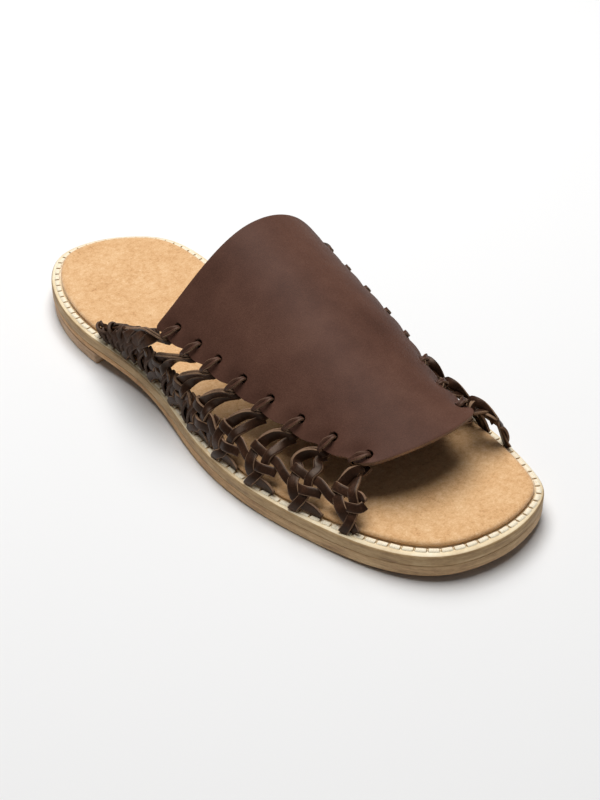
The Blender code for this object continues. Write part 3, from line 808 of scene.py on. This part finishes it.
# ---- woven sides
# Points of the strips of one unit.
# K, N: millimetres forward and down of the unit's knot, or of the next unit's.
# U: units forward of the hole, and depth. A: the same, with depth as a share of the knot's.
# S: millimetres forward of the knot, and depth.
# H: millimetres from the hole toward the heel and toward the cut edge.
# out: millimetres out of the weave's surface, or of the vamp's for H. roll: degrees about the strip's run.
#    from  forward down   out  roll
ARC_START = (
    ("H", 0.6, 3.4, -2.8, 0),
    ("H", -0.6, 5.8, -2.7, -15),
    ("A", 0.02, 0.06, -1.5, -38),
    ("A", -0.19, 0.20, -0.7, -56),
    ("A", -0.42, 0.39, -0.6, -56),
    ("A", -0.54, 0.62, -0.4, -40))
FRONT_ARC_START = (
    ("H", -3.0, 2.0, -2.8, 0),
    ("H", -3.8, 5.2, -2.8, -15),
    ("A", 0.26, 0.08, -1.5, -42),
    ("A", 0.17, 0.30, -0.2, -52),
    ("A", -0.06, 0.60, 0.0, -40))
ARC_STRIP = (
    ("K", -3.4, -3.2, -0.6, -5),
    ("K", -3.5, 0.4, 0.2, 0),
    ("K", -2.7, 3.6, 0.75, 0),
    ("K", -0.9, 7.4, 0.1, 0))
ARC_FOOT = (
    ("S", 5.4, 0.90, -0.5, 0),
    ("S", 9.0, 0.985, -0.3, 0))
FRONT_ARC_FOOT = (
    ("S", 0.8, 0.90, -0.3, 0),
    ("S", 2.2, 0.99, 0.3, 0))
LEG_TOP = (
    ("A", 0.06, 0.10, -3.0, -25),
    ("A", -0.08, 0.34, -2.0, -30),
    ("K", 4.6, -7.2, -0.8, -12))
REAR_LEG_TOP = (
    ("A", 0.00, 0.14, -2.4, -45),
    ("A", -0.20, 0.34, -2.0, -48),
    ("K", 1.6, -6.4, -1.0, -25))
FRONT_LEG_TOP = (
    ("K", 3.6, -10.5, -2.4, 0),
    ("K", 3.8, -7.0, -0.9, 0))
LEG_STRIP = (
    ("K", 3.1, -2.6, 0.75, 0),
    ("K", 2.7, 2.4, -0.6, 0),
    ("K", 1.5, 6.6, 0.3, 0),
    ("S", -0.4, 0.90, 1.0, 0),
    ("S", -2.0, 1.00, 1.7, 0))
CURL_STRIP = (
    ("K", -5.0, -6.0, 0.2, 60),
    ("K", -2.2, -8.4, 1.4, 85),
    ("K", 1.4, -7.6, 2.0, 85),
    ("K", 4.2, -4.4, 1.4, 60),
    ("K", 5.6, 0.5, 0.0, 30))
BAR_START = (
    ("K", -6.5, -3.5, -1.8, 0),
    ("K", -5.5, -3.4, 0.0, 0),
    ("K", -3.5, -3.1, 0.75, 0),
    ("K", 0.0, -2.6, 0.0, 0),
    ("K", 3.1, -2.4, -0.6, 0))
BAR_END = (
    ("K", 7.0, -2.2, 0.0, 0),
    ("N", -6.5, 1.4, 0.0, 0),
    ("N", -2.9, 2.7, -0.6, 0),
    ("N", 0.0, 3.0, 0.1, 0),
    ("N", 2.8, 2.8, 0.75, 0))
BAR_TIP = (
    ("N", 6.6, 1.9, -0.1, 0),
    ("N", 8.6, 1.7, -0.9, 0))
FRONT_TIP = (
    ("N", 5.6, 2.1, 0.3, 15),
    ("N", 7.2, 0.6, -0.4, 40))
FRONT_CURL = (
    ("K", 5.6, -2.2, -0.5, 15),
    ("K", 7.0, -0.4, -0.9, 40))
INFILL = (
    ("K", 7.6, -5.0, -1.6, 0),
    ("K", 9.2, 2.0, -0.9, 0),
    ("S", 10.0, 0.98, -0.5, 0))
FIRST_ARC = (
    ("H", 0.4, 4.4, -2.1, 0),
    ("H", 0.8, 7.2, -1.8, -25),
    ("U", -0.28, 0.05, 0.6, -65),
    ("U", -0.50, 0.06, 0.9, -65),
    ("U", -0.68, 0.12, 0.4, -50),
    ("U", -0.80, 0.28, -0.2, -25),
    ("U", -0.84, 0.52, -1.2, 0))
TAIL_UPPER = (
    ("U", -0.13, 0.05, -0.5, 0),
    ("U", -0.10, 0.16, 0.8, 10),
    ("U", -0.02, 0.36, 1.6, 20),
    ("U", 0.09, 0.62, -0.2, 16))
TAIL_LOWER = (
    ("U", -0.01, 0.46, -0.6, 8),
    ("U", 0.04, 0.58, 0.8, 16),
    ("U", 0.12, 0.78, 1.5, 20),
    ("U", 0.20, 1.00, 0.3, 10))
TAIL_INSIDE = (
    ("U", -0.13, 0.06, -1.7, 0),
    ("U", -0.16, 0.28, -2.8, -12),
    ("U", -0.12, 0.62, -3.2, -12),
    ("U", -0.02, 0.97, -2.2, 0))
TAIL_CORE = (
    ("U", -0.34, 0.95, -0.4, 0),
    ("U", -0.16, 0.74, -0.8, 0),
    ("U", 0.10, 0.62, -1.0, 0),
    ("U", 0.45, 0.58, -1.0, 0),
    ("U", 0.75, 0.66, -1.2, 0))
TAIL_FIRST, TAIL_LAST, TAIL_COUNT, TAIL_WIDTH, TAIL_CORE_WIDTH = -0.22, 0.62, 6, 4.8, 5.0
REAR_UNITS = 4  # the units at the heel whose thongs lie close together
REAR_SCALE = (
    ("U", -0.02, 0.56, -1.2, 10),
    ("U", 0.04, 0.68, 0.0, 26),
    ("U", 0.12, 0.86, 0.5, 30),
    ("U", 0.18, 1.00, 0.4, 15))
REAR_SCALES = (0.95, 1.2, 1.95, 2.2, 2.95, 3.2)
BRAID_START, BRAID_END, BRAID_DEPTH, BRAID_SWING, BRAID_OUT = 0.45, 4.7, 0.81, 0.10, -2.0
FIRST_CURL, FRONT_LOOP = 6, 7  # first units whose medial thongs curl, and whose loops hardly lean
THONG, THICK = 3.6, 1.2  # width and thickness of a thong
ARC_WIDTH, ARC_THICK = 4.3, 0.85  # the same of the arcs, which are two thongs deep
ARC_TAPER, REAR_LEG_TAPER = 0.45, 0.4  # shares of their width that arcs and rear legs start with
ARC_GAP, UNDER_ARC_ROWS = 0.05, 7  # between an arc's two thongs; the rows that the lower one follows
THONG_FACE, THONG_EDGE, LACE_FACE, TAIL_FACE, TAIL_EDGE = range(5)  # the weave's materials
CLOSEST, STEP = 1.2, 0.8  # least distance between a strip's rows, and that between its points
# A thong's section, from its back round to its face, in half widths and half thicknesses
SECTION = ((-0.93, -1.0), (0.0, -0.95), (0.93, -1.0), (1.0, -0.75), (1.0, 0.6), (0.9, 1.0), (0.5, 1.1),
           (0.0, 1.14), (-0.5, 1.1), (-0.9, 1.0), (-1.0, 0.6), (-1.0, -0.75))
CUT_FACES = (3, 4, 9, 10)  # the section's pieces on the cut edges


def knot_point(weave, unit, forward, down):
    """(unit, depth) that is forward and down of a unit's knot, in millimetres."""
    k = spline(weave.units, weave.knot, unit)
    d = spline(weave.units, weave.depth, unit)
    along = lengths(weave(k + 0.01, d) - weave(k - 0.01, d)) / 0.02
    deep = lengths(weave(k, d + 0.01) - weave(k, d - 0.01)) / 0.02
    return np.array([k + forward / along, d + down / deep])


def strip_rows(weave, unit, table):
    """The table's points as rows of place (3), outward normal (3) and roll."""
    rows = []
    for start, forward, down, out, roll in table:
        if start == "H":
            centre, normal, to_edge, heelward = hole_frames(weave)[int(unit) - 1]
            rows.append((*(centre + heelward * forward + to_edge * down + normal * out), *normal, roll))
            continue
        if start == "U":
            at, depth = unit + forward, down
        elif start == "A":
            at, depth = unit + forward, down * spline(weave.units, weave.depth, unit)
        elif start == "S":
            at, depth = knot_point(weave, unit, forward, 0)[0], down
        else:
            at, depth = knot_point(weave, unit + (start == "N"), forward, down)
        depth = min(max(depth, 0.0), 1)
        normal = normal_of(weave, at, depth, (weave.sign, 0, 0.3))
        out = out + weave.swell * smooth(at, *SWELL_UNITS) * (1 - smooth(depth, 0.7, 1.0))
        rows.append((*(weave(at, depth) + normal * out), *normal, roll))
    return np.array(rows)


def braid_rows(phase):
    """One of the two thongs that cross behind the knots of the rear units."""
    units = np.arange(BRAID_START, BRAID_END, 0.25)
    turns = 2 * math.pi * units + phase
    return [("U", u, BRAID_DEPTH + BRAID_SWING * math.cos(t), BRAID_OUT + 0.65 * math.sin(t), 0)
            for u, t in zip(units, turns)]


def spread(rows):
    """Rows without those that come too soon after the one before."""
    kept = [rows[0]]
    for row in rows[1:]:
        if lengths(row[:3] - kept[-1][:3]) > CLOSEST:
            kept.append(row)
    return np.array(kept)


def path_of(rows):
    """Points, run, outward normal and roll along a smooth strip through rows."""
    knots = travelled(rows[:, :3])
    t = np.linspace(0, knots[-1], max(4, round(knots[-1] / STEP) + 1))
    smoothed = np.stack([spline(knots, rows[:, c], t) for c in range(7)], axis=1)
    points = smoothed[:, :3]
    run = unit_vectors(np.gradient(points, axis=0))
    return points, run, unit_vectors(smoothed[:, 3:6]), smoothed[:, 6]


def sweep(points, run, across, outward, width, thick):
    """A closed thong along points, as (vertices, faces, kinds)."""
    half = np.ones(len(points)) * width / 2
    for _ in range(30):  # narrower, bit by bit, where it turns so tightly that its inner edge would fold
        for hand in (-1, 1):
            edge = points + across * (hand * half)[:, None]
            ahead = np.sum(np.diff(edge, axis=0) * (run[1:] + run[:-1]) / 2, axis=1)
            tight = ahead < 0.2 * lengths(np.diff(points, axis=0))
            half[1:][tight] *= 0.95
            half[:-1][tight] *= 0.95
    half = np.convolve(np.pad(half, 2, mode="edge"), np.ones(5) / 5, "valid")
    vertices = [p + a * (x * h) + o * (y * thick / 2)
                for p, a, o, h in zip(points, across, outward, half) for x, y in SECTION]
    kinds = [int(k in CUT_FACES) for _ in range(len(points) - 1) for k in range(len(SECTION))]
    return vertices, tube_faces(len(points), len(SECTION)), kinds + [1, 1]


def turned(across, outward, angle):
    """The two directions across a strip, turned about its run."""
    cos, sin = np.cos(angle), np.sin(angle)
    return across * cos + outward * sin, outward * cos - across * sin


def thong(weave, rows, width=THONG, lift=0.0, thick=THICK, start=1.0):
    """A thong of the weave along rows, lifted off the surface by millimetres. start is the share of its width
    that it begins with."""
    points, run, normal, roll = path_of(spread(rows))
    side = unit_vectors(np.cross(normal, run) * weave.sign)
    face = np.cross(run, side) * weave.sign
    across, outward = turned(side, face, np.radians(roll)[:, None])
    width = width * (start + (1 - start) * smooth(np.linspace(0, 1, len(points)), 0.0, 0.3))
    return sweep(points + outward * lift, run, across, outward, width, thick)


# A lacing loop, in millimetres from the hole's centre toward the cut edge, out of the vamp and to the heel
LOOP_PATH = (
    (0.6, -2.2, 0.4),
    (0.0, -0.8, 0.0),
    (-0.3, 0.6, -0.2),
    (0.5, 1.6, 0.2),
    (2.6, 2.0, 1.4),
    (5.0, 1.9, 2.9),
    (6.8, 1.3, 4.1),
    (7.5, -0.1, 4.6),
    (7.0, -1.5, 4.1),
    (5.4, -2.2, 2.9),
    (3.4, -2.3, 1.8))
LOOP_WIDTH, LOOP_THICK, LOOP_TURN = 1.5, 0.85, 22
LOOP_PLACE, LOOP_POINTS = 0.54, 40  # of a loop's two thongs beside its middle, in widths; points along it
LOOP_LEAN, FRONT_LEAN, LOOP_RISE, FLAT_RISE, SWELL_RISE = 0.85, 0.3, 1, 0.75, 0.2
BACKING_WIDTH, BACKING_DEPTH, BACKING_START, BACKING_END = 5.0, 2.7, -3.6, 4.4


def hole_backing(frame_at):
    """The thong where it runs behind a lacing hole."""
    centre, normal, to_edge, heelward = frame_at
    points = centre - normal * BACKING_DEPTH + np.outer(np.linspace(BACKING_START, BACKING_END, 6), to_edge)
    run, across, outward = (np.tile(v, (len(points), 1)) for v in (to_edge, heelward, normal))
    return sweep(points, run, across, outward, BACKING_WIDTH, ARC_THICK)


def lace_loop(frame_at, shift, turn, lean, rise):
    """One thong of a loop through a lacing hole and round the vamp's edge. lean, rise: shares of the path's
    reach to the heel and out of the vamp."""
    centre, normal, to_edge, heelward = frame_at
    rows = np.array(LOOP_PATH)
    rows[:, 1:] *= rise, lean
    knots = travelled(rows)
    t = np.linspace(0, knots[-1], LOOP_POINTS)
    a, b, c = (spline(knots, rows[:, k], t) for k in range(3))
    points = centre + np.outer(a, to_edge) + np.outer(b, normal) + np.outer(c, heelward)
    run = unit_vectors(np.gradient(points, axis=0))
    across = unit_vectors(heelward - run * (run @ heelward)[:, None])
    outward = np.cross(across, run)
    inside = centre + to_edge * 3
    outward *= np.sign(np.sign(np.sum(outward * (points - inside), axis=1)).sum())
    middle = np.exp(-((a - 3.2) / 2.4)**2)  # 1 half way from the hole to the edge
    across, outward = turned(across, outward, np.radians(turn * middle)[:, None])
    points = points + across * (shift * (0.4 + 0.6 * middle)[:, None])
    return sweep(points, run, across, outward, LOOP_WIDTH * (0.55 + 0.45 * middle), LOOP_THICK)


def build_weave(node, weave, materials):
    """One woven side: the thongs of each unit, the closed tail, the rear strips and the lacing loops."""
    body = Body()

    def add(table, unit, *rest, kinds=(THONG_FACE, THONG_EDGE), **more):
        body.take(*thong(weave, strip_rows(weave, unit, table), *rest, **more), *kinds)

    for k in range(1, HOLES + 1):
        last, rear = k == HOLES, k <= REAR_UNITS
        if k == 1:
            arc = FIRST_ARC
            add(ARC_STRIP + ARC_FOOT, k)
        elif last:
            arc = FRONT_ARC_START + ARC_STRIP + FRONT_ARC_FOOT
        else:
            arc = ARC_START + ARC_STRIP + ARC_FOOT
        add(arc, k, ARC_WIDTH, thick=ARC_THICK, start=ARC_TAPER)
        add(arc[:UNDER_ARC_ROWS], k, ARC_WIDTH, -ARC_THICK - ARC_GAP, thick=ARC_THICK, start=ARC_TAPER)
        leg = FRONT_LEG_TOP if last else REAR_LEG_TOP if rear else LEG_TOP
        add(leg + LEG_STRIP, k, start=REAR_LEG_TAPER if rear else 1.0)
        if weave.swell and k >= FIRST_CURL:
            add(CURL_STRIP, k)
        if rear or (weave.swell and not last):
            add(INFILL, k)
        end = FRONT_CURL if last else BAR_END + (FRONT_TIP if k == HOLES - 1 else BAR_TIP)
        add(BAR_START + end, k)
    for unit in np.linspace(TAIL_FIRST, TAIL_LAST, TAIL_COUNT):
        low = 0.3 * smooth(-unit, 0.05, 0.3)  # the hindmost strips start lower down and are narrower
        width = TAIL_WIDTH * (0.7 + 0.3 * smooth(unit, TAIL_FIRST, 0.3))
        for strip in (TAIL_UPPER, TAIL_LOWER, TAIL_INSIDE):
            add([(start, f, d + low * (1 - d), out, roll) for start, f, d, out, roll in strip], unit, width,
                kinds=(TAIL_FACE, TAIL_EDGE))
    for unit in REAR_SCALES:
        add(REAR_SCALE, unit, TAIL_WIDTH, kinds=(TAIL_FACE, TAIL_EDGE))
    add(TAIL_CORE, 0, TAIL_CORE_WIDTH, kinds=(TAIL_FACE, TAIL_FACE))
    for phase in (0, math.pi):
        add(braid_rows(phase), 0, TAIL_WIDTH, kinds=(TAIL_FACE, TAIL_EDGE))
    for k, place in enumerate(hole_frames(weave), 1):
        lean = LOOP_LEAN if k < FRONT_LOOP else FRONT_LEAN
        flat = weave.swell and k < FIRST_CURL
        rise = FLAT_RISE if flat else LOOP_RISE + SWELL_RISE * weave.swell
        for hand in (-1, 1):
            turn = 0 if flat else hand * LOOP_TURN
            loop = lace_loop(place, hand * LOOP_WIDTH * LOOP_PLACE, turn, lean, rise)
            body.take(*loop, LACE_FACE, THONG_EDGE)
        body.take(*hole_backing(place), TAIL_FACE, TAIL_FACE)
    piece(node, body.vertices, body.faces, materials, body.kinds, node=node)


# ---- camera and light
# The viewpoint and the point it looks at, in the shoe's millimetres.
VIEWPOINT = (338.0, 538.7, 395.3)
AIM = (-2.5, 150.7, 8.4)
LENS = 72.0
FLOOR_HALF_WIDTH = 4.0  # metres


def aimed(data, place, target):
    """An object at place that looks at target, both in the frame's metres."""
    obj = placed_object(data.name, data)
    place, target = Vector(place), Vector(target)
    turn = (target - place).to_track_quat("-Z", "Y").to_matrix().to_4x4()
    obj.matrix_world = Matrix.Translation(place) @ turn
    return obj


def build_camera():
    data = bpy.data.cameras.new("camera")
    data.lens, data.sensor_width, data.sensor_fit, data.clip_start = LENS, 36, "AUTO", 0.01
    bpy.context.scene.camera = aimed(data, to_scene(VIEWPOINT), to_scene(AIM))


def area_light(name, place, target, size, power):
    data = bpy.data.lights.new(name, "AREA")
    data.shape, data.size, data.energy = "DISK", size, power
    aimed(data, place, target)


def build_studio():
    look = Look("floor", 0.9, Specular_IOR_Level=0.1, Base_Color=(0.84, 0.84, 0.84, 1))
    mesh = bpy.data.meshes.new("floor")
    r = FLOOR_HALF_WIDTH
    mesh.from_pydata([(-r, -r, 0), (r, -r, 0), (r, r, 0), (-r, r, 0)], [], [(0, 1, 2, 3)])
    mesh.materials.append(look.material)
    placed_object("floor", mesh)
    world = bpy.data.worlds.new("studio")
    world.use_nodes = True
    sky = world.node_tree.nodes["Background"].inputs
    sky["Color"].default_value, sky["Strength"].default_value = (1.0, 0.97, 0.93, 1), 0.09
    bpy.context.scene.world = world
    bpy.context.scene.view_settings.view_transform = "Standard"
    area_light("overhead", (0.06, 0.2, 1.3), (0, 0, 0), 1.05, 16.6)
    area_light("back", (0.45, 0.55, 1.0), (0, 0, 0), 0.6, 4.5)
    area_light("medial", (0.95, 0.7, 0.3), (0, 0, 0.05), 0.25, 0.35)


# ---- assembly
build_sole()
build_stitches()
build_vamp()
strap_materials = [  # in the order of THONG_FACE to TAIL_EDGE
    grained_leather("thong", (27, 16, 10), (49, 30, 20), (82, 54, 39), 0.36, 0.24, 6),
    cut_leather("thong_raw_edge", (80, 55, 39), (154, 121, 91)),
    grained_leather("lace", (56, 35, 27), (76, 49, 38), (100, 68, 54), 0.52, 0.3, 6),
    grained_leather("plait_tail", (39, 23, 14), (62, 40, 27), (91, 62, 44), 0.6, 0.08, 4),
    cut_leather("tail_raw_edge", (46, 32, 24), (96, 73, 56))]
for node_name, side_weave in SIDES.items():
    build_weave(node_name, side_weave, strap_materials)
build_camera()
build_studio()
